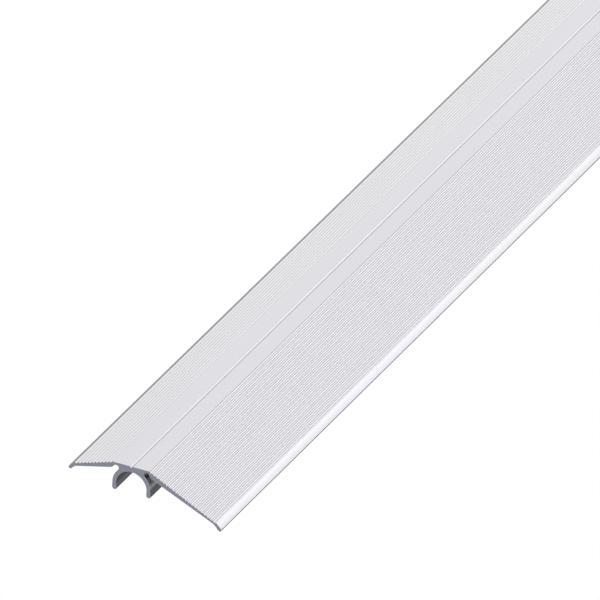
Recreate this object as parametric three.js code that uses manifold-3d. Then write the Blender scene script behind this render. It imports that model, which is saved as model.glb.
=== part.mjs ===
// Multi-level threshold strip with hidden fixings.
//
// An extruded aluminium cover bridges two floors of different height. A U-shaped socket runs along its
// underside and is pushed down over ball heads, so the cover can tilt until both of its noses rest on the
// floors. Each ball head is held by a countersunk screw that turns in a nylon wall plug sunk in the subfloor,
// and turning the screws sets the height.
//
// Frame, in millimetres: X runs along the doorway, +Z is up, and -Y is the side of the long, low wing.
// The origin is on the subfloor, under the middle of the row of fixings.

import * as THREE from "three";
import { mergeVertices } from "three/addons/utils/BufferGeometryUtils.js";
import Module from "manifold-3d";

const { degToRad } = THREE.MathUtils;

// Driving dimensions of the strip.
const LENGTH = 900;
const LAND_HEIGHT = 16; // the flat top above the subfloor
const GUIDE_GROOVE = { width: 0.9, depth: 0.4 };
const RIB = { pitch: 1, crest: 0.06, depth: 0.35, root: 0.06, lean: 0.05 };

// The two wings, each measured outwards and downwards from the guide groove in the land.
const SHORT_WING = {
  landEdge: 5.45,
  slope: degToRad(17.2),
  undersideSlope: degToRad(14.1),
  rootThickness: 1.66,
  grooves: 11,
  reach: 17.75,
  drop: 5.4,
  noseRadius: 0.46,
  noseSlope: degToRad(44),
  noseBend: 1.5,
  pocketMouth: degToRad(45),
};
const LONG_WING = {
  landEdge: 5.25,
  slope: degToRad(27.5),
  undersideSlope: degToRad(24.9),
  rootThickness: 1.91,
  grooves: 21,
  reach: 25.3,
  drop: 11.87,
  noseRadius: 0.52,
  noseSlope: degToRad(52),
  noseBend: 3,
  pocketMouth: degToRad(20),
};

// The socket and its two legs, and the round pocket where each leg meets its wing.
const SOCKET = { radius: 4.25, depth: 5.9, lip: 4.14 };
const FOOT = { radius: 0.66, bottom: 7.88 };
const POCKET = { x: 4.3, y: -1.5, radius: 0.76 };

// The fixings, spaced evenly and the same distance in from both ends.
const FIXINGS = 6;
const END_MARGIN = 60;
const BALL = { radius: 4.15, topRadius: 3.65, bore: 1.95, skirtRadius: 2.75, skirtDepth: 5 };
const SEAT = { rimRadius: 3.25, rimDepth: 0.3, radius: 3.45, height: 0.25 };
const SCREW = { length: 35, headRadius: 3.35, coreRadius: 1.15, threadRadius: 1.75, pitch: 1.8, tip: 4 };
const SCREW_SHANK = { radius: 1.45, length: 9 };
const RECESS = { width: 0.8, span: 3.4, depth: 1.3 };
const PLUG = { radius: 2.5, bore: 1.9, length: 24.2 };
const PLUG_COLLAR = { radius: 3.75, height: 0.8 };
const PLUG_NOSE = { radius: 1.9, bore: 1.4, taper: 1.5 };
const PLUG_BARBS = { count: 5, top: -5.4, height: 3.2, radius: 2.62, root: 2.2 };
const PLUG_SLOT = { width: 0.6, top: -4.2, bottom: -21.2 };
const PLUG_FIN = { radius: 2.95, thickness: 0.5, top: -1, bottom: -5 };
const CLEARANCE = 0.1;

// How finely round shapes are divided.
const ARC_STEPS = { root: 3, bend: 4, nose: 9, pocket: 9, leg: 6, foot: 8, socket: 30, ball: 7 };
const ROUND_SEGMENTS = 16;
const SCREW_SEGMENTS = 12;

const finishes = {
  anodised: new THREE.MeshStandardMaterial({ color: 0xdedee4, roughness: 0.42, metalness: 0.9 }),
  nylon: new THREE.MeshStandardMaterial({ color: 0xe9e8e2, roughness: 0.5, metalness: 0 }),
  zinc: new THREE.MeshStandardMaterial({ color: 0xc3c7cc, roughness: 0.3, metalness: 1 }),
  plug: new THREE.MeshStandardMaterial({ color: 0x9a9da1, roughness: 0.6, metalness: 0 }),
};

const wasm = await Module();
wasm.setup();

// ---- Small geometry helpers ----

const point = (x, y) => new THREE.Vector2(x, y);
const heading = (angle) => point(Math.cos(angle), Math.sin(angle));
const arc = (centre, radius, from, to, steps) =>
  new THREE.EllipseCurve(centre.x, centre.y, radius, radius, from, to, to < from).getPoints(steps);

// Where the line through a along u crosses the line through b along v.
function crossing(a, u, b, v) {
  const t = b.clone().sub(a).cross(v) / u.cross(v);
  return a.clone().addScaledVector(u, t);
}

// The arc that rounds the corner between a line arriving along u and a line leaving along v.
function rounded(corner, u, v, radius, steps) {
  const turn = Math.atan2(u.cross(v), u.dot(v));
  const setback = radius * Math.tan(Math.abs(turn) / 2);
  const start = corner.clone().addScaledVector(u, -setback);
  const toCentre = point(-u.y, u.x).multiplyScalar(Math.sign(turn) * radius);
  const centre = start.clone().add(toCentre);
  const from = toCentre.negate().angle();
  return arc(centre, radius, from, from + turn, steps);
}

// The arc from start to end that arrives along a heading.
function arcTo(start, end, arrival, steps) {
  const chord = end.clone().sub(start);
  const turn = 2 * Math.atan2(chord.cross(arrival), chord.dot(arrival));
  const radius = chord.length() / 2 / Math.sin(Math.abs(turn) / 2);
  const toCentre = point(-arrival.y, arrival.x).multiplyScalar(Math.sign(turn) * radius);
  const centre = end.clone().add(toCentre);
  const to = toCentre.negate().angle();
  return arc(centre, radius, to - turn, to, steps);
}

function solidOf(geometry) {
  const bare = new THREE.BufferGeometry();
  bare.setAttribute("position", geometry.getAttribute("position"));
  bare.setIndex(geometry.index);
  const merged = mergeVertices(bare, 1e-4);
  return new wasm.Manifold(
    new wasm.Mesh({
      numProp: 3,
      vertProperties: merged.getAttribute("position").array,
      triVerts: new Uint32Array(merged.index.array),
    }),
  );
}

function geometryOf(solid) {
  const { vertProperties, triVerts } = solid.getMesh();
  const geometry = new THREE.BufferGeometry();
  geometry.setAttribute("position", new THREE.BufferAttribute(vertProperties, 3));
  geometry.setIndex(new THREE.BufferAttribute(triVerts, 1));
  geometry.computeVertexNormals();
  return geometry;
}

// A body turned about Z from an outline of (radius, height) points.
function turned(outline) {
  return new THREE.LatheGeometry(outline, ROUND_SEGMENTS).rotateX(Math.PI / 2);
}

function box(width, depth, bottom, top) {
  return new THREE.BoxGeometry(width, depth, top - bottom).translate(0, 0, (top + bottom) / 2);
}

// ---- The extruded strip ----

// The V grooves that leave the ribs standing on a wing, from the land outwards. The land's edge is the first
// crest, and each root lies a little nearer to the land than the middle of its groove.
function ribbedTop(wing, corner) {
  const along = heading(-wing.slope);
  const inwards = heading(-Math.PI / 2 - wing.slope);
  const halfWidth = (RIB.pitch - RIB.crest) / 2;
  const down = heading(-wing.slope - Math.atan(RIB.depth / (halfWidth - RIB.lean)));
  const up = heading(-wing.slope + Math.atan(RIB.depth / (halfWidth + RIB.lean)));
  const points = [];
  for (let groove = 0; groove < wing.grooves; groove++) {
    const middle = corner.clone().addScaledVector(along, (groove + 0.5) * RIB.pitch);
    const root = middle.clone().addScaledVector(along, -RIB.lean).addScaledVector(inwards, RIB.depth);
    points.push(
      middle.clone().addScaledVector(along, -halfWidth),
      ...rounded(root, down, up, RIB.root, ARC_STEPS.root),
      middle.clone().addScaledVector(along, halfWidth),
    );
  }
  return points;
}

// The nose that curves down from a wing's last crest to meet the floor, and back along the underside.
function nose(wing, corner, root) {
  const ribs = wing.grooves * RIB.pitch + RIB.crest / 2;
  const crest = corner.clone().addScaledVector(heading(-wing.slope), ribs);
  const down = heading(-wing.noseSlope);
  const under = heading(Math.PI - wing.undersideSlope);
  const start = Math.PI / 2 - wing.noseSlope;
  const side = heading(start).multiplyScalar(wing.noseRadius);
  const tip = point(wing.reach - wing.noseRadius, wing.noseRadius - wing.drop);
  const lower = crossing(root, under, tip.clone().sub(side), down);
  return [
    ...arcTo(crest, tip.clone().add(side), down, ARC_STEPS.bend),
    ...arc(tip, wing.noseRadius, start, start - Math.PI, ARC_STEPS.nose).slice(1),
    ...rounded(lower, down.clone().negate(), under, wing.noseBend, ARC_STEPS.bend),
  ];
}

// The pocket between wing and leg, then the leg: down its outside, round its foot and up its inside.
function pocketAndLeg(wing, root) {
  const middle = point(POCKET.x, POCKET.y);
  const socket = point(0, -SOCKET.depth);
  const toLeg = socket.clone().sub(middle);
  const outerRadius = toLeg.length() - POCKET.radius;
  const mouth = middle.clone().addScaledVector(heading(wing.pocketMouth), POCKET.radius);
  const mouthLine = heading(wing.pocketMouth - Math.PI / 2);
  const under = heading(Math.PI - wing.undersideSlope);
  const foot = point(SOCKET.lip + FOOT.radius, FOOT.radius - FOOT.bottom);
  return [
    crossing(root, under, mouth, mouthLine),
    ...arc(middle, POCKET.radius, wing.pocketMouth, toLeg.angle(), ARC_STEPS.pocket),
    ...arc(socket, outerRadius, toLeg.angle() - Math.PI, 0, ARC_STEPS.leg).slice(1),
    ...arc(foot, FOOT.radius, 0, -Math.PI, ARC_STEPS.foot),
  ];
}

// One half of the outline, from the land's corner to the start of the socket's arch.
function halfOutline(wing) {
  const corner = point(wing.landEdge, 0);
  const root = point(wing.landEdge, -wing.rootThickness);
  return [corner, ...ribbedTop(wing, corner), ...nose(wing, corner, root), ...pocketAndLeg(wing, root)];
}

function stripOutline() {
  const mirror = (p) => point(-p.x, p.y);
  return [
    point(-GUIDE_GROOVE.width / 2, 0),
    point(0, -GUIDE_GROOVE.depth),
    point(GUIDE_GROOVE.width / 2, 0),
    ...halfOutline(LONG_WING),
    ...arc(point(0, -SOCKET.depth), SOCKET.radius, 0, Math.PI, ARC_STEPS.socket),
    ...halfOutline(SHORT_WING).map(mirror).reverse(),
  ];
}

function thresholdProfile() {
  const section = new THREE.Shape(stripOutline());
  const geometry = new THREE.ExtrudeGeometry(section, { depth: LENGTH, bevelEnabled: false });
  geometry.translate(0, 0, -LENGTH / 2).rotateX(Math.PI / 2).rotateZ(-Math.PI / 2);
  const mesh = new THREE.Mesh(geometry, finishes.anodised);
  mesh.name = "threshold_profile";
  mesh.position.z = LAND_HEIGHT;
  return mesh;
}

// ---- One fixing: ball head, screw and wall plug, each standing on its own axis ----

const ballCentre = LAND_HEIGHT - SOCKET.depth;
const ballTop = Math.sqrt(BALL.radius ** 2 - BALL.topRadius ** 2);
const seatTop = ballTop - SEAT.rimDepth;

// A ball on a short skirt. Its seat snaps over the screw's head, so the two rise and fall together while the
// screw still turns inside. Its origin is the ball's centre.
function ballHead() {
  const from = -Math.acos(BALL.skirtRadius / BALL.radius);
  const to = Math.asin(ballTop / BALL.radius);
  const seatBottom = seatTop - SEAT.height;
  const outline = [
    point(BALL.bore, -BALL.skirtDepth),
    point(BALL.skirtRadius, -BALL.skirtDepth),
    ...arc(point(0, 0), BALL.radius, from, to, ARC_STEPS.ball),
    point(SEAT.rimRadius, ballTop),
    point(SEAT.radius, seatTop),
    point(SEAT.radius, seatBottom),
    point(BALL.bore, seatBottom - (SEAT.radius - BALL.bore)),
    point(BALL.bore, -BALL.skirtDepth),
  ];
  return new THREE.Mesh(turned(outline), finishes.nylon);
}

// The screw's outline at one angle, from its point to the middle of its head. The thread's crests and roots
// climb by one pitch in a full turn, and flatten out where the thread meets the tip and the shank.
function screwOutline(turn) {
  const { coreRadius, threadRadius, pitch, headRadius } = SCREW;
  const neck = headRadius - SCREW_SHANK.radius;
  const bottom = SCREW.tip - SCREW.length;
  const top = -neck - SCREW_SHANK.length;
  const thread = [];
  for (let half = 0; bottom + (half / 2 - 1) * pitch <= top; half++) {
    const height = bottom + (half / 2 + turn - 1) * pitch;
    const inside = height > bottom && height < top;
    const radius = inside && half % 2 === 0 ? threadRadius : coreRadius;
    thread.push(point(radius, THREE.MathUtils.clamp(height, bottom, top)));
  }
  return [
    point(0, -SCREW.length),
    point(coreRadius, bottom),
    ...thread,
    point(coreRadius, top),
    point(SCREW_SHANK.radius, top + CLEARANCE),
    point(SCREW_SHANK.radius, -neck - CLEARANCE),
    point(headRadius, -CLEARANCE),
    point(headRadius, 0),
    point(0, 0),
  ];
}

// A body whose outline changes as it goes round Z, from outlines of (radius, height) points of one length.
function wound(outlineAt, segments) {
  const positions = [];
  const faces = [];
  for (let column = 0; column <= segments; column++) {
    const turn = column / segments;
    const outline = outlineAt(turn);
    const around = heading(turn * 2 * Math.PI);
    for (const p of outline) {
      positions.push(p.x * around.x, p.x * around.y, p.y);
    }
    for (let row = 1; row < outline.length && column > 0; row++) {
      const here = column * outline.length + row;
      const before = here - outline.length;
      faces.push(before - 1, here - 1, here, before - 1, here, before);
    }
  }
  const geometry = new THREE.BufferGeometry();
  geometry.setAttribute("position", new THREE.Float32BufferAttribute(positions, 3));
  geometry.setIndex(faces);
  return geometry;
}

// A countersunk screw with a cross recess. Its origin is the middle of the head's flat top.
function fixingScrew() {
  const recess = solidOf(box(RECESS.span, RECESS.width, -RECESS.depth, 1)).add(
    solidOf(box(RECESS.width, RECESS.span, -RECESS.depth, 1)),
  );
  const screw = solidOf(wound(screwOutline, SCREW_SEGMENTS)).subtract(recess);
  return new THREE.Mesh(geometryOf(screw), finishes.zinc);
}

// The barbs' outline, from the lowest to the highest: each flares upwards and ends in a sharp step.
function plugBarbs() {
  const points = [];
  for (let barb = PLUG_BARBS.count - 1; barb >= 0; barb--) {
    const top = PLUG_BARBS.top - barb * PLUG_BARBS.height;
    points.push(point(PLUG_BARBS.radius, top - CLEARANCE), point(PLUG_BARBS.root, top));
  }
  return points;
}

// A nylon plug with a collar, two holding fins and a barbed sleeve slotted into four legs. Its origin is on
// the subfloor.
function wallPlug() {
  const { radius, bore, length } = PLUG;
  const noseTop = PLUG_NOSE.taper - length;
  const boreEnd = 2 * PLUG_NOSE.taper - length;
  const chamfer = PLUG_COLLAR.height / 2;
  const outline = [
    point(bore, PLUG_COLLAR.height),
    point(bore, boreEnd),
    point(PLUG_NOSE.bore, -length),
    point(PLUG_NOSE.radius, -length),
    point(PLUG_BARBS.root, noseTop),
    ...plugBarbs(),
    point(radius, PLUG_BARBS.top + CLEARANCE),
    point(radius, 0),
    point(PLUG_COLLAR.radius, 0),
    point(PLUG_COLLAR.radius, chamfer),
    point(PLUG_COLLAR.radius - chamfer, PLUG_COLLAR.height),
    point(bore, PLUG_COLLAR.height),
  ];
  const hole = turned([point(0, boreEnd), point(bore, boreEnd), point(bore, 0), point(0, 0)]);
  const fins = box(2 * PLUG_FIN.radius, PLUG_FIN.thickness, PLUG_FIN.bottom, PLUG_FIN.top);
  const across = box(PLUG_SLOT.width, 4 * radius, PLUG_SLOT.bottom, PLUG_SLOT.top);
  const along = box(4 * radius, PLUG_SLOT.width, PLUG_SLOT.bottom, PLUG_FIN.bottom - PLUG_SLOT.width);
  const plug = solidOf(turned(outline))
    .add(solidOf(fins).subtract(solidOf(hole)))
    .subtract(solidOf(across))
    .subtract(solidOf(along));
  return new THREE.Mesh(geometryOf(plug), finishes.plug);
}

function fixing(number, x) {
  const pieces = [
    ["ball_head", ballHead(), ballCentre],
    ["fixing_screw", fixingScrew(), ballCentre + seatTop - CLEARANCE / 2],
    ["wall_plug", wallPlug(), 0],
  ];
  const group = new THREE.Group();
  group.position.x = x;
  for (const [name, mesh, height] of pieces) {
    mesh.name = `${name}_${number}`;
    mesh.position.z = height;
    group.add(mesh);
  }
  return group;
}

// ---- The assembly ----

const assembly = new THREE.Group();
assembly.add(thresholdProfile());
for (let i = 0; i < FIXINGS; i++) {
  const spacing = (LENGTH - 2 * END_MARGIN) / (FIXINGS - 1);
  assembly.add(fixing(i + 1, END_MARGIN - LENGTH / 2 + i * spacing));
}

export default assembly;
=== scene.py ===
"""The looks of a multi-level threshold strip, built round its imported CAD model.

Everything is in metres in the model's own frame: X along the strip, +Z up, and -Y towards the long wing.
Outlines and small parts are drawn in millimetres and scaled by MM.
"""

import math

import bmesh
import bpy
from mathutils import Matrix, Vector


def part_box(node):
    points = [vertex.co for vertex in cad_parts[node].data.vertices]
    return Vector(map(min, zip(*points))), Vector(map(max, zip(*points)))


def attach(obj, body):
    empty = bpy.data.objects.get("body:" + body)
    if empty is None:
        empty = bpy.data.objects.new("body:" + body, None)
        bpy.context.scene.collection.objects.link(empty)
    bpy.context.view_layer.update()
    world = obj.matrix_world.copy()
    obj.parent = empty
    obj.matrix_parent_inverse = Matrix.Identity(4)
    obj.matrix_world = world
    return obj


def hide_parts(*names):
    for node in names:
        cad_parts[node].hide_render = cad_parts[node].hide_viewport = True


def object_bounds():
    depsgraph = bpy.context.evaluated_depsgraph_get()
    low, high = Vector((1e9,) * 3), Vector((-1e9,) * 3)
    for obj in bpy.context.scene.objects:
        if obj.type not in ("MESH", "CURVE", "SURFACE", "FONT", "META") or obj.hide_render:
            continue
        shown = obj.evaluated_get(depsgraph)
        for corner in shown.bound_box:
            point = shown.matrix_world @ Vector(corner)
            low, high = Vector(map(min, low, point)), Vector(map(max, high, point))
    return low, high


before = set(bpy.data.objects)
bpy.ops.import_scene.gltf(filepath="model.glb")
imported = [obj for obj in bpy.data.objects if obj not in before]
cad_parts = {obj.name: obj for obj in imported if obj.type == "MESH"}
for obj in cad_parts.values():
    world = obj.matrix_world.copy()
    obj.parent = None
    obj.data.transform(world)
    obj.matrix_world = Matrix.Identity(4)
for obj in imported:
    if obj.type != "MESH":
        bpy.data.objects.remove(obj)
cad_low, cad_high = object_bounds()

MM = 0.001
STRIP = "threshold_profile"
FIXINGS = range(1, 7)
strip_low, strip_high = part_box(STRIP)

# The view: a lens so long that parallel edges stay almost parallel.
VIEW_AZIMUTH = -62.21
VIEW_ELEVATION = 30.95
VIEW_WIDTH = 150.7 * MM
VIEW_INSET = 90.85 * MM  # how far in from the strip's near end the view's centre lies
VIEW_OFFSET = 0.46 * MM  # and how far off the middle of the land, towards the short wing
LENS_MM = 1650
SENSOR_MM = 36


# ---- Camera ----

def towards(azimuth, elevation):
    """The direction from the object to an eye at these angles, azimuth 0 being at -Y."""
    a, e = math.radians(azimuth), math.radians(elevation)
    return Vector((math.sin(a) * math.cos(e), -math.cos(a) * math.cos(e), math.sin(e)))


def make_camera():
    data = bpy.data.cameras.new("camera")
    data.lens = LENS_MM
    data.sensor_width = SENSOR_MM
    distance = VIEW_WIDTH * LENS_MM / SENSOR_MM
    data.clip_start, data.clip_end = distance / 100, distance * 10
    back = towards(VIEW_AZIMUTH, VIEW_ELEVATION)
    target = Vector((strip_low.x + VIEW_INSET, VIEW_OFFSET, strip_high.z))
    camera = bpy.data.objects.new("camera", data)
    camera.location = target + back * distance
    camera.rotation_euler = (-back).to_track_quat("-Z", "Y").to_euler()
    bpy.context.scene.collection.objects.link(camera)
    bpy.context.scene.camera = camera


# ---- Materials ----

class Shader:
    """The node tree of a material or of the world, built a node at a time."""

    def __init__(self, owner):
        owner.use_nodes = True
        self.owner = owner
        self.tree = owner.node_tree

    def feed(self, socket, value):
        if isinstance(value, bpy.types.NodeSocket):
            self.tree.links.new(value, socket)
        else:
            socket.default_value = value

    def node(self, kind, inputs=None, **settings):
        made = self.tree.nodes.new(kind)
        for key, value in settings.items():
            setattr(made, key, value)
        for key, value in (inputs or {}).items():
            self.feed(made.inputs[key], value)
        return made

    def set(self, **inputs):
        """Feeds the material's Principled BSDF, an underscore standing for each space in a socket's name."""
        surface = self.tree.nodes["Principled BSDF"]
        for key, value in inputs.items():
            self.feed(surface.inputs[key.replace("_", " ")], value)

    def place(self, scale):
        """The point being shaded, in metres from the row frame's origin, times scale."""
        point = self.node("ShaderNodeTexCoord").outputs["Object"]
        return self.node("ShaderNodeMapping", {"Vector": point, "Scale": scale}).outputs["Vector"]

    def noise(self, scale, detail=2.0, roughness=0.5):
        inputs = {"Vector": self.place(scale), "Scale": 1.0, "Detail": detail, "Roughness": roughness}
        return self.node("ShaderNodeTexNoise", inputs).outputs["Fac"]

    def math(self, operation, a, b=0.0):
        return self.node("ShaderNodeMath", {0: a, 1: b}, operation=operation).outputs[0]

    def span(self, value, low, high, start=0.3, stop=0.7):
        """value from start to stop, spread over low to high."""
        inputs = {"Value": value, "From Min": start, "From Max": stop, "To Min": low, "To Max": high}
        return self.node("ShaderNodeMapRange", inputs).outputs["Result"]

    def tint(self, value, dark, light, start=0.3, stop=0.7):
        """A colour between dark and light, as value goes from start to stop."""
        ramp = self.node("ShaderNodeValToRGB", {"Fac": value})
        ends = ramp.color_ramp.elements
        ends[0].position, ends[1].position = start, stop
        ends[0].color, ends[1].color = (*dark, 1), (*light, 1)
        return ramp.outputs["Color"]

    def mixed(self, factor, first, second):
        """The colour that goes from first to second as factor goes from 0 to 1."""
        mix = self.node("ShaderNodeMix", {"Factor": factor}, data_type="RGBA")
        colours = [socket for socket in mix.inputs if socket.type == "RGBA"]
        for socket, value in zip(colours, (first, second)):
            self.feed(socket, value)
        return next(socket for socket in mix.outputs if socket.type == "RGBA")

    def bump(self, height, distance, under=None):
        inputs = {"Height": height, "Strength": 1.0, "Distance": distance}
        if under:
            inputs["Normal"] = under
        return self.node("ShaderNodeBump", inputs).outputs["Normal"]


def anodised_aluminium():
    """Satin silver anodising over the fine die lines that extrusion leaves along the strip. Its colour is
    darkened with painted shade along the crests of the ribs, in the roots between them, in the guide groove,
    at the noses and round the ends, and lightened with a painted highlight on the flanks of the ribs."""
    s = Shader(bpy.data.materials.new("anodised_aluminium"))
    die_lines = s.noise((4, 2600, 2600), 3.0, 0.6)
    grain = s.noise((120, 5000, 5000), 2.0)
    clouds = s.noise((14, 60, 60), 2.0)
    # Painted shade darkens the colour towards near black at the crests and roots of the ribs, in the guide
    # groove, at the noses and round the ends.
    painted_crease_shade = s.node("ShaderNodeAttribute", attribute_name="painted_crease_shade").outputs["Fac"]
    painted_flank_highlight = s.node("ShaderNodeAttribute", attribute_name="painted_flank_highlight").outputs["Fac"]
    open_face = s.tint(clouds, (0.745, 0.74, 0.77), (0.77, 0.765, 0.795))
    # The rib flanks are painted lighter, a painted highlight.
    silver_with_painted_highlight = s.mixed(painted_flank_highlight, open_face, (0.985, 0.98, 0.995, 1))
    painted_shade_colour = s.tint(s.noise((60, 300, 300), 2.0), (0.04, 0.04, 0.042), (0.08, 0.08, 0.083))
    s.set(
        Base_Color=s.mixed(painted_crease_shade, silver_with_painted_highlight, painted_shade_colour),
        Metallic=1.0,
        Roughness=s.span(s.math("ADD", die_lines, clouds), 0.24, 0.30, 0.8, 1.2),
        Normal=s.bump(grain, 0.3e-6, s.bump(die_lines, 1.5e-6)),
    )
    return s.owner


SAW_CENTRE = (0.07, -0.05)  # the Y and Z of the saw blade's middle
SAW_MARKS = 14000.0  # the phase of the marks' wave, in radians per metre from that middle
SAW_WANDER = 6.0


def sawn_aluminium():
    """The sawn end: bare metal crossed by the arcs that the saw blade's teeth leave."""
    s = Shader(bpy.data.materials.new("sawn_aluminium"))
    y, z = SAW_CENTRE
    point = s.node("ShaderNodeTexCoord").outputs["Object"]
    blade = s.node("ShaderNodeMapping", {"Vector": point, "Location": (0, -y, -z), "Scale": (0, 1, 1)})
    radius = s.node("ShaderNodeVectorMath", {0: blade.outputs["Vector"]}, operation="LENGTH").outputs["Value"]
    wander = s.math("MULTIPLY", s.noise((0, 300, 300), 2.0), SAW_WANDER)
    teeth = s.math("SINE", s.math("ADD", s.math("MULTIPLY", radius, SAW_MARKS), wander))
    specks = s.noise((0, 6000, 6000), 2.0)
    s.set(
        Base_Color=s.tint(specks, (0.635, 0.67, 0.75), (0.68, 0.715, 0.80)),
        Metallic=1.0,
        Roughness=s.span(specks, 0.55, 0.65),
        Normal=s.bump(specks, 1e-6, s.bump(teeth, 1e-6)),
    )
    return s.owner


def moulded_nylon(name, dark, light, roughness):
    """Moulded nylon: a faint spark-eroded grain, slightly uneven in colour and gloss."""
    s = Shader(bpy.data.materials.new(name))
    grain = s.noise((9000, 9000, 9000), 2.0)
    flow = s.noise((500, 500, 260), 3.0)
    s.set(
        Base_Color=s.tint(flow, dark, light),
        Roughness=s.span(flow, roughness - 0.06, roughness + 0.06),
        Normal=s.bump(grain, 3e-6),
        Subsurface_Weight=0.15,
        Subsurface_Scale=0.5 * MM,
    )
    return s.owner


def zinc_plated_steel():
    """Bright zinc plating with a faint blue and straw tint, over the marks of thread rolling."""
    s = Shader(bpy.data.materials.new("zinc_plated_steel"))
    tint = s.noise((400, 400, 400), 2.0)
    rolled = s.noise((1500, 1500, 9000), 3.0)
    s.set(
        Base_Color=s.tint(tint, (0.60, 0.63, 0.68), (0.72, 0.70, 0.65)),
        Metallic=1.0,
        Roughness=s.span(rolled, 0.22, 0.36),
        Normal=s.bump(rolled, 2e-6),
    )
    return s.owner


# ---- Mesh helpers ----

def turn_at(points, i):
    """The signed angle by which a closed outline turns at its point i."""
    before = points[i] - points[i - 1]
    after = points[(i + 1) % len(points)] - points[i]
    return math.atan2(before.cross(after), before.dot(after))


def arcs_refined(points, steps, longest=0.9, sharpest=math.radians(35)):
    """A closed outline with each short chord of an arc divided into steps along that arc."""
    turns = [turn_at(points, i) for i in range(len(points))]
    made = []
    for i, start in enumerate(points):
        end = points[(i + 1) % len(points)]
        made.append(start)
        here, there = turns[i], turns[(i + 1) % len(points)]
        soft = [t for t in (here, there) if math.radians(1) < abs(t) < sharpest]
        chord = end - start
        if not soft or chord.length > longest or (len(soft) == 2 and here * there < 0):
            continue
        angle = max(soft, key=abs)
        radius = chord.length / 2 / math.sin(abs(angle) / 2)
        inwards = Vector((-chord.y, chord.x)).normalized() * math.copysign(1, angle)
        centre = (start + end) / 2 + inwards * radius * math.cos(angle / 2)
        for step in range(1, steps):
            made.append(centre + Matrix.Rotation(angle * step / steps, 2) @ (start - centre))
    return made


def walked(points, i, direction, distance):
    """The point this far along a closed outline from its point i, and the index of the next point."""
    here = points[i]
    while True:
        i = (i + direction) % len(points)
        stretch = points[i] - here
        if stretch.length >= distance:
            return here + stretch.normalized() * distance, i
        distance -= stretch.length
        here = points[i]


def corners_rounded(points, radius, steps, sharper_than=math.radians(35)):
    """A closed outline with each sharp corner eased by a curve that starts about radius before it."""
    count = len(points)
    skipped = set()
    curves = {}
    for i in range(count):
        turn = turn_at(points, i)
        if abs(turn) < sharper_than:
            continue
        reach = radius * math.tan(min(abs(turn), math.radians(100)) / 2)
        start, before = walked(points, i, -1, reach)
        end, after = walked(points, i, 1, reach)
        index = (before + 1) % count
        while index != after:
            skipped.add(index)
            index = (index + 1) % count
        curve = []
        for step in range(steps + 1):
            t = step / steps
            curve.append(start * (1 - t) ** 2 + points[i] * 2 * t * (1 - t) + end * t ** 2)
        curves[i] = curve
    made = []
    for i in range(count):
        if i in curves:
            made.extend(curves[i])
        elif i not in skipped:
            made.append(points[i])
    return made


def inset(points, distance):
    """A closed outline moved inwards, for one that runs anticlockwise."""
    moved = []
    for i, point in enumerate(points):
        before = (point - points[i - 1]).normalized()
        after = (points[(i + 1) % len(points)] - point).normalized()
        across = before + after
        if across.length < 1e-6:
            across = before
        normal = Vector((-across.y, across.x)).normalized()
        moved.append(point + normal * distance)
    return moved


def mesh_of(name, bm):
    """A mesh from a bmesh: welded, cleaned and facing outwards."""
    bmesh.ops.remove_doubles(bm, verts=bm.verts, dist=1e-8)
    bmesh.ops.dissolve_degenerate(bm, edges=bm.edges, dist=1e-8)
    bmesh.ops.recalc_face_normals(bm, faces=bm.faces)
    mesh = bpy.data.meshes.new(name)
    bm.to_mesh(mesh)
    bm.free()
    return mesh


def shaded(mesh, materials, smooth=30):
    """The mesh with its materials, smooth except at edges over so many degrees."""
    for material in materials:
        mesh.materials.append(material)
    mesh.polygons.foreach_set("use_smooth", [True] * len(mesh.polygons))
    mesh.set_sharp_from_angle(angle=math.radians(smooth))
    return mesh


def placed(name, mesh, location=(0, 0, 0)):
    made = bpy.data.objects.new(name, mesh)
    made.location = location
    bpy.context.scene.collection.objects.link(made)
    return made


def skinned(rings, closed_profile=True):
    """A bmesh from rings of points of one length: each ring is joined to the next, point by point."""
    bm = bmesh.new()
    rows = [[bm.verts.new(p) for p in ring] for ring in rings]
    for here, there in zip(rows, rows[1:]):
        last = len(here) if closed_profile else len(here) - 1
        for i in range(last):
            j = (i + 1) % len(here)
            bm.faces.new((here[i], here[j], there[j], there[i]))
    return bm, rows


def wound(name, outline_at, angles, closed=True):
    """A mesh from outlines of (radius, height) points in millimetres, one for each angle round Z."""
    rings = []
    for angle in angles:
        across = Vector((math.cos(angle), math.sin(angle), 0)) * MM
        rings.append([across * radius + Vector((0, 0, height * MM)) for radius, height in outline_at(angle)])
    return mesh_of(name, skinned(rings, closed)[0])


def full_turn(segments, seams=(), seam_half_width=0.012):
    """The angles of a full turn, both ends included, with three close together at each seam."""
    even = [2 * math.pi * i / segments for i in range(segments + 1)]
    extra = [seam + side * seam_half_width for seam in seams for side in (-1, 0, 1)]
    kept = [a for a in even if all(abs(a - seam) > 2 * seam_half_width for seam in seams)]
    return sorted(kept + extra)


def block(name, low, high):
    """A box between two opposite corners in millimetres."""
    bm = bmesh.new()
    for vertex in bmesh.ops.create_cube(bm, size=1.0)["verts"]:
        corner = [high[i] if vertex.co[i] > 0 else low[i] for i in range(3)]
        vertex.co = Vector(corner) * MM
    return mesh_of(name, bm)


def combined(body, tool, operation):
    """The mesh that a boolean operation makes of two meshes."""
    operands = [placed("operand", mesh) for mesh in (body, tool)]
    cut = operands[0].modifiers.new("cut", "BOOLEAN")
    cut.operation = operation
    cut.solver = "EXACT"
    cut.object = operands[1]
    depsgraph = bpy.context.evaluated_depsgraph_get()
    made = bpy.data.meshes.new_from_object(operands[0].evaluated_get(depsgraph))
    for operand in operands:
        bpy.data.objects.remove(operand)
    made.name = body.name
    return made


# ---- The strip ----

END_CHAMFER = 0.05
STATION_SPACING = 30 * MM
CORNER_EASE = 0.06
SUPPORT = 0.042  # how close to each bend its flat neighbours get a line of points, so that they stay flat
RIB_FLANK = (0.25, 0.6)  # the lengths between which a flat stretch counts as the flank of a rib
GUIDE_REACH = 2  # no rib lies as near as this to the land's middle
GUIDE_HALF_WIDTH = 0.5
NOSE_REACH = 2.2  # how far in from its edge a nose reaches
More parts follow.
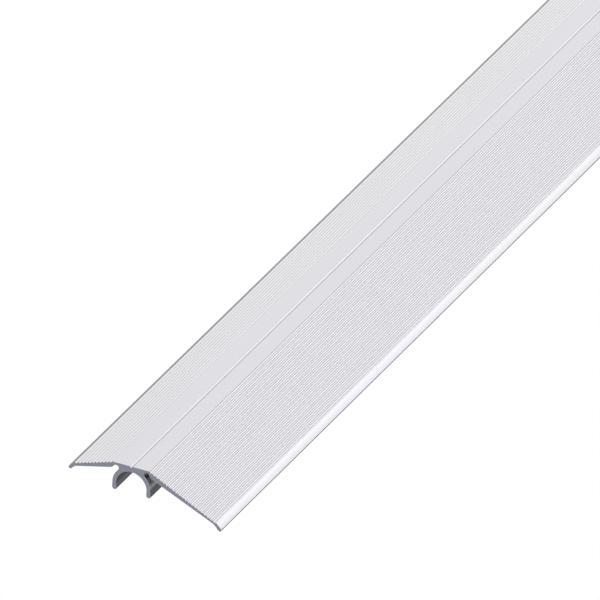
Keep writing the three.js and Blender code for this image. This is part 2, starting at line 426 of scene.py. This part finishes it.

# How much painted shade darkens the anodising's colour, from 0 to 1, where the outline bends tightly, and on
# the guide groove's flanks.
TIGHT_BEND = (2.5, 4.5)  # curvatures, per millimetre, between which a bend counts more and more as tight
CREST_PAINTED_SHADE = 0.84
ROOT_PAINTED_SHADE = 0.64
GUIDE_PAINTED_SHADE = 0.5
NOSE_PAINTED_SHADE = 0.5
GUIDE_FLANK_PAINTED_SHADE = 0.13


def end_outline(node):
    """The section's outline, as anticlockwise (y, z) points in millimetres, from the CAD end face."""
    bm = bmesh.new()
    bm.from_mesh(node.data)
    bmesh.ops.remove_doubles(bm, verts=bm.verts, dist=1e-7)
    rim = [
        edge for edge in bm.edges
        if all(abs(v.co.x - strip_high.x) < 1e-6 for v in edge.verts)
        and any(abs(face.normal.x) < 0.5 for face in edge.link_faces)
    ]
    neighbours = {}
    for edge in rim:
        a, b = edge.verts
        neighbours.setdefault(a, []).append(b)
        neighbours.setdefault(b, []).append(a)
    start = rim[0].verts[0]
    path = [start]
    while True:
        onward = [v for v in neighbours[path[-1]] if len(path) < 2 or v is not path[-2]]
        if onward[0] is start:
            break
        path.append(onward[0])
    points = [Vector((v.co.y, v.co.z)) / MM for v in path]
    bm.free()
    area = sum(points[i - 1].cross(points[i]) for i in range(len(points)))
    return points if area > 0 else points[::-1]


def supported(points):
    """A closed outline with two more points on each long flat stretch, close to its ends."""
    made = []
    for i, start in enumerate(points):
        stretch = points[(i + 1) % len(points)] - start
        made.append(start)
        if stretch.length > 3 * SUPPORT:
            step = stretch.normalized() * SUPPORT
            made += [start + step, start + stretch - step]
    return made


def painted_highlight_flanks(points):
    """1 where a closed outline's point lies on a flat as narrow as a rib's flank, and 0 elsewhere: where the
    anodising's colour is lightened as a painted highlight.
    """
    lengths = [(points[(i + 1) % len(points)] - point).length for i, point in enumerate(points)]
    narrow = [
        RIB_FLANK[0] < length < RIB_FLANK[1] and abs(point.x) > GUIDE_REACH
        for point, length in zip(points, lengths)
    ]
    return [float(narrow[i] or narrow[i - 1]) for i in range(len(points))]


def darkest_painted_shade(point, turn):
    """How much painted shade darkens a tight bend, by where on the outline it lies and which way it turns."""
    if abs(point.x) < GUIDE_REACH:
        return GUIDE_PAINTED_SHADE
    if not strip_low.y / MM + NOSE_REACH < point.x < strip_high.y / MM - NOSE_REACH:
        return NOSE_PAINTED_SHADE
    return CREST_PAINTED_SHADE if turn > 0 else ROOT_PAINTED_SHADE


def painted_crease_shades(points):
    """How much painted shade darkens a closed outline at each point: the tighter it bends, the darker it is
    painted.
    """
    loosest, tightest = TIGHT_BEND
    made = []
    for i, point in enumerate(points):
        reach = ((point - points[i - 1]).length + (points[(i + 1) % len(points)] - point).length) / 2
        turn = turn_at(points, i)
        tightness = (abs(turn) / reach - loosest) / (tightest - loosest)
        # The guide groove's flanks get a little painted shade, which tones down their highlight.
        in_guide = abs(point.x) < GUIDE_HALF_WIDTH and point.y > strip_high.z / MM - 1
        flank_painted_shade = GUIDE_FLANK_PAINTED_SHADE if in_guide else 0
        made.append(max(min(max(tightness, 0), 1) * darkest_painted_shade(point, turn), flank_painted_shade))
    return made


def make_strip(materials):
    drawn = end_outline(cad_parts[STRIP])
    outline = supported(corners_rounded(arcs_refined(drawn, 4), CORNER_EASE, 4))
    eased = inset(outline, END_CHAMFER)
    length = strip_high.x - strip_low.x
    inner = length - 2 * END_CHAMFER * MM
    count = round(length / STATION_SPACING)
    middles = [strip_low.x + END_CHAMFER * MM + inner * i / count for i in range(count + 1)]
    stations = [(strip_low.x, eased), *((x, outline) for x in middles), (strip_high.x, eased)]
    bm, rows = skinned([[(x, p.x * MM, p.y * MM) for p in section] for x, section in stations])
    for row in (rows[0], rows[-1]):
        bm.faces.new(row).material_index = 1
    # The end rings take painted shade at full strength, which paints a dark outline along the chamfers round
    # the sawn ends.
    rim = [1.0] * len(outline)
    marks = {
        "painted_crease_shade": rim + painted_crease_shades(outline) * len(middles) + rim,
        "painted_flank_highlight": painted_highlight_flanks(outline) * len(stations),
    }
    for name, amounts in marks.items():
        layer = bm.verts.layers.float.new(name)
        for vertex, amount in zip(bm.verts, amounts):
            vertex[layer] = amount
    strip = placed("ribbed_strip", shaded(mesh_of("ribbed_strip", bm), materials, smooth=33))
    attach(strip, "strip")
    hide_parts(STRIP)


# ---- The fixings ----
# Each is drawn from its own origin: the ball's centre, the top of the screw's head, the top of the subfloor.

ROUND_STEPS = 64
BALL_RADIUS = 4.15
BALL_TOP = 1.975  # how far above the ball's centre it is cut off flat
BALL_SKIRT = 5.0  # how far the skirt reaches below the ball's centre
SKIRT_RADIUS = 2.75
BALL_BORE = 1.95
BALL_SEAMS = (math.pi / 2, 3 * math.pi / 2)
SEAM_RIDGE = 0.025
SCREW_LENGTH = 35
SCREW_PITCH = 1.8
THREAD = (1.15, 1.75)  # the radii of the thread's core and crest
THREAD_SPAN = (-31.0, -10.9)
COLLAR_HEIGHT = 0.8
BARBS = 5
BARB_PITCH = 3.2
FIN_REACH = (2.2, 2.95)
FIN_FOOT = 2.45  # how far the fins reach at their lower end


def arc(radius, start, stop, steps):
    angles = [start + (stop - start) * i / steps for i in range(steps + 1)]
    return [Vector((radius * math.cos(a), radius * math.sin(a))) for a in angles]


def ball_head_mesh():
    """A ball on a short skirt, with a countersunk seat for the screw and the ridge where the mould parted."""
    outer = arc(BALL_RADIUS, -math.acos(SKIRT_RADIUS / BALL_RADIUS), math.asin(BALL_TOP / BALL_RADIUS), 28)
    skirt = [(BALL_BORE, -BALL_SKIRT), (SKIRT_RADIUS, -BALL_SKIRT)]
    seat = [(3.25, BALL_TOP), (3.45, BALL_TOP - 0.3), (3.45, BALL_TOP - 0.55), (BALL_BORE, BALL_TOP - 2.05)]
    drawn = [Vector(p) for p in skirt] + outer + [Vector(p) for p in seat]
    outline = corners_rounded(drawn, 0.12, 3)
    outside = [p.x > SKIRT_RADIUS - 0.05 and p.y < BALL_TOP - 0.2 for p in outline]

    def outline_at(angle):
        ridge = SEAM_RIDGE if angle in BALL_SEAMS else 0.0
        return [(p.x + ridge * out, p.y) for p, out in zip(outline, outside)]

    return wound("ball_head", outline_at, full_turn(ROUND_STEPS, BALL_SEAMS))


def cross_radius(angle, half_span, half_width):
    """How far a cross reaches at an angle."""
    off_arm = abs((angle + math.pi / 4) % (math.pi / 2) - math.pi / 4)
    along = half_span / math.cos(off_arm)
    return min(along, half_width / math.sin(off_arm)) if off_arm > 1e-6 else along


def thread_outline(turn):
    """The thread's outline from its lower end up: a narrow crest once a pitch, fading out at both ends."""
    core, crest = THREAD
    bottom, top = THREAD_SPAN
    points = []
    for pitch in range(int((top - bottom) / SCREW_PITCH) + 2):
        for offset, share in ((-0.24, 0), (-0.05, 0.96), (0, 1), (0.05, 0.96), (0.24, 0)):
            height = bottom + (pitch + turn - 1 + offset) * SCREW_PITCH
            fade = min(max(min(height - bottom, top - height) / SCREW_PITCH, 0), 1)
            radius = core + (crest - core) * share * fade
            points.append((radius, min(max(height, bottom), top)))
    return points


def screw_mesh():
    """A countersunk screw with a rolled thread, a plain shank under its head and a cross recess."""
    core = THREAD[0]
    bottom, top = THREAD_SPAN

    def outline_at(angle):
        span = cross_radius(angle, 1.7, 0.4)
        tip = [(0, -SCREW_LENGTH), (0.1, -SCREW_LENGTH + 0.12), (core * 0.55, bottom - 1.7), (core, bottom)]
        shank = [(core, top), (1.4, top + 0.08), (1.45, top + 0.2), (1.45, -2.35), (1.55, -2.1)]
        head = [(3.3, -0.14), (3.35, -0.09), (3.35, -0.04), (3.31, 0), (span + 0.03, 0), (span, -0.05)]
        recess = [(span * 0.82, -0.9), (span * 0.6, -1.2), (0, -1.3)]
        return tip + thread_outline(angle / (2 * math.pi)) + shank + head + recess

    return wound("fixing_screw", outline_at, full_turn(ROUND_STEPS), closed=False)


def wall_plug_mesh():
    """A nylon plug: a collar, a barbed sleeve slotted into four legs, and two fins that stop it turning."""
    barbs = []
    for barb in reversed(range(BARBS)):
        height = -5.4 - BARB_PITCH * barb
        barbs += [(2.22, height - 2.9), (2.6, height - 0.25), (2.62, height - 0.12), (2.22, height)]
    sleeve = [(1.9, -21.2), (1.4, -24.2), (1.9, -24.2), (2.2, -22.7)] + barbs + [(2.5, -5.3), (2.5, 0)]
    collar = [(3.75, 0), (3.75, 0.4), (3.35, COLLAR_HEIGHT), (1.9, COLLAR_HEIGHT)]
    outline = corners_rounded([Vector(p) for p in sleeve + collar], 0.1, 3)
    plug = wound("wall_plug", lambda angle: [(p.x, p.y) for p in outline], full_turn(ROUND_STEPS))
    for side in (-1, 1):
        low, high = sorted(side * reach for reach in FIN_REACH)
        fin = block("fin", (low, -0.22, -5), (high, 0.22, -1))
        for vertex in fin.vertices:
            if vertex.co.z < -3 * MM and abs(vertex.co.x) > 2.5 * MM:
                vertex.co.x = side * FIN_FOOT * MM
        plug = combined(plug, fin, "UNION")
    across = block("slot", (-0.3, -5, -21.2), (0.3, 5, -4.2))
    along = block("slot", (-5, -0.3, -21.2), (5, 0.3, -5.6))
    return combined(combined(plug, across, "DIFFERENCE"), along, "DIFFERENCE")


def make_fixings(node, mesh, material, body, origin_height):
    """Six pieces that share one mesh, each in place of its CAD node."""
    shaded(mesh, [material], smooth=35)
    for number in FIXINGS:
        name = f"{node}_{number}"
        low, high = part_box(name)
        piece = placed(f"fine_{name}", mesh, ((low.x + high.x) / 2, 0, origin_height(low, high)))
        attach(piece, body.format(number))
        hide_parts(name)


def ball_centre(low, high):
    return low.z + BALL_SKIRT * MM


def head_top(low, high):
    return high.z


def subfloor_top(low, high):
    return high.z - COLLAR_HEIGHT * MM


def make_all_fixings():
    white = moulded_nylon("white_nylon", (0.80, 0.79, 0.74), (0.87, 0.86, 0.82), 0.45)
    grey = moulded_nylon("grey_nylon", (0.36, 0.37, 0.39), (0.44, 0.45, 0.47), 0.5)
    make_fixings("ball_head", ball_head_mesh(), white, "ball_heads", ball_centre)
    make_fixings("fixing_screw", screw_mesh(), zinc_plated_steel(), "screw_{}", head_top)
    make_fixings("wall_plug", wall_plug_mesh(), grey, "wall_plugs", subfloor_top)


# ---- Surroundings ----

FLOOR_HALF_SIZE = 12
FLOOR_GAP = 0.3 * MM


def make_floor():
    """A plain white floor just under the wall plugs, which can be seen through from below."""
    z = cad_low.z - FLOOR_GAP
    bm = bmesh.new()
    corners = [(x * FLOOR_HALF_SIZE, y * FLOOR_HALF_SIZE, z) for x, y in ((-1, -1), (1, -1), (1, 1), (-1, 1))]
    bm.faces.new([bm.verts.new(corner) for corner in corners])
    s = Shader(bpy.data.materials.new("floor"))
    output = s.tree.nodes["Material Output"]
    rays = s.node("ShaderNodeLightPath").outputs["Is Camera Ray"]
    seen = s.node("ShaderNodeEmission", {"Color": (1, 1, 1, 1), "Strength": 1.0})
    below = s.node("ShaderNodeNewGeometry").outputs["Backfacing"]
    shown = s.math("MULTIPLY", rays, s.math("SUBTRACT", 1.0, below))
    clear = s.node("ShaderNodeBsdfTransparent")
    both = s.node("ShaderNodeMixShader", {0: shown, 1: clear.outputs[0], 2: seen.outputs[0]})
    s.feed(output.inputs["Surface"], both.outputs[0])
    mesh = mesh_of("floor", bm)
    if mesh.polygons[0].normal.z < 0:  # a lone face has no outside, and may come out facing down
        mesh.flip_normals()
    placed("floor", shaded(mesh, [s.owner]))


# How bright the studio is, as elevations in degrees with their levels, on the side that each wing faces.
SHORT_WING_SIDE = (
    (-90, 0.35), (-60, 0.22), (-42, 0.09), (-30, 0.10), (-12, 0.28), (-4, 0.6),
    (3, 1.0), (22, 1.40), (31, 0.97), (42, 0.64), (90, 0.8),
)
LONG_WING_SIDE = (
    (-90, 0.35), (-60, 0.22), (-42, 0.07), (-24, 0.10), (-15, 0.50), (-8, 1.28),
    (2, 1.30), (14, 0.96), (20, 1.08), (31, 1.65), (42, 0.78), (90, 0.8),
)
SIDE_SPAN = (0.0, -0.4)  # the Y of a direction over which the short wing's side gives way to the long wing's
END_SPAN = (0.86, 0.96)  # the size of a direction's X over which the studio dims, off both ends of the strip,
END_LOSS = 0.35  # and how much of its brightness is lost
RAMP_SHARE = 0.5  # how bright the ramps are beside the levels, because a ramp's colours stop at 1


def level_ramp(s, elevation, levels):
    """The levels, dimmed by RAMP_SHARE, over an elevation of 0 for straight down to 1 for straight up."""
    ramp = s.node("ShaderNodeValToRGB", {"Fac": elevation})
    stops = ramp.color_ramp.elements
    stops.remove(stops[1])
    for index, (degrees, level) in enumerate(levels):
        position = (degrees + 90) / 180
        stop = stops[0] if index == 0 else stops.new(position)
        stop.position = position
        grey = level * RAMP_SHARE
        stop.color = (grey, grey, grey * 1.02, 1)
    return ramp.outputs["Color"]


def make_world():
    """A soft studio: bright round the horizon, dimmer overhead and below, and white where nothing stands."""
    s = Shader(bpy.data.worlds.new("studio"))
    direction = s.node("ShaderNodeTexCoord").outputs["Generated"]
    parts = s.node("ShaderNodeSeparateXYZ", {0: direction}).outputs
    elevation = s.span(s.math("ARCSINE", parts["Z"]), 0.0, 1.0, -math.pi / 2, math.pi / 2)
    side = s.span(parts["Y"], 0.0, 1.0, *SIDE_SPAN)
    short_side = level_ramp(s, elevation, SHORT_WING_SIDE)
    long_side = level_ramp(s, elevation, LONG_WING_SIDE)
    off_ends = s.span(s.math("ABSOLUTE", parts["X"]), 0.0, END_LOSS, *END_SPAN)
    lit = s.mixed(off_ends, s.mixed(side, short_side, long_side), (0, 0, 0, 1))
    rays = s.node("ShaderNodeLightPath").outputs["Is Camera Ray"]
    background = s.tree.nodes["Background"].inputs
    s.feed(background["Color"], s.mixed(rays, lit, (RAMP_SHARE, RAMP_SHARE, RAMP_SHARE, 1)))
    s.feed(background["Strength"], 1 / RAMP_SHARE)
    bpy.context.scene.world = s.owner


def area_light(name, azimuth, elevation, distance, size, power):
    data = bpy.data.lights.new(name, "AREA")
    data.size = size
    data.energy = power
    light = bpy.data.objects.new(name, data)
    direction = towards(azimuth, elevation)
    light.location = direction * distance
    light.rotation_euler = direction.to_track_quat("Z", "Y").to_euler()
    bpy.context.scene.collection.objects.link(light)


def make_surroundings():
    make_world()
    make_floor()
    area_light("key", 86, 41, 3.0, 1.3, 0.5)
    bpy.context.scene.view_settings.view_transform = "Standard"


make_camera()
make_strip([anodised_aluminium(), sawn_aluminium()])
make_all_fixings()
make_surroundings()
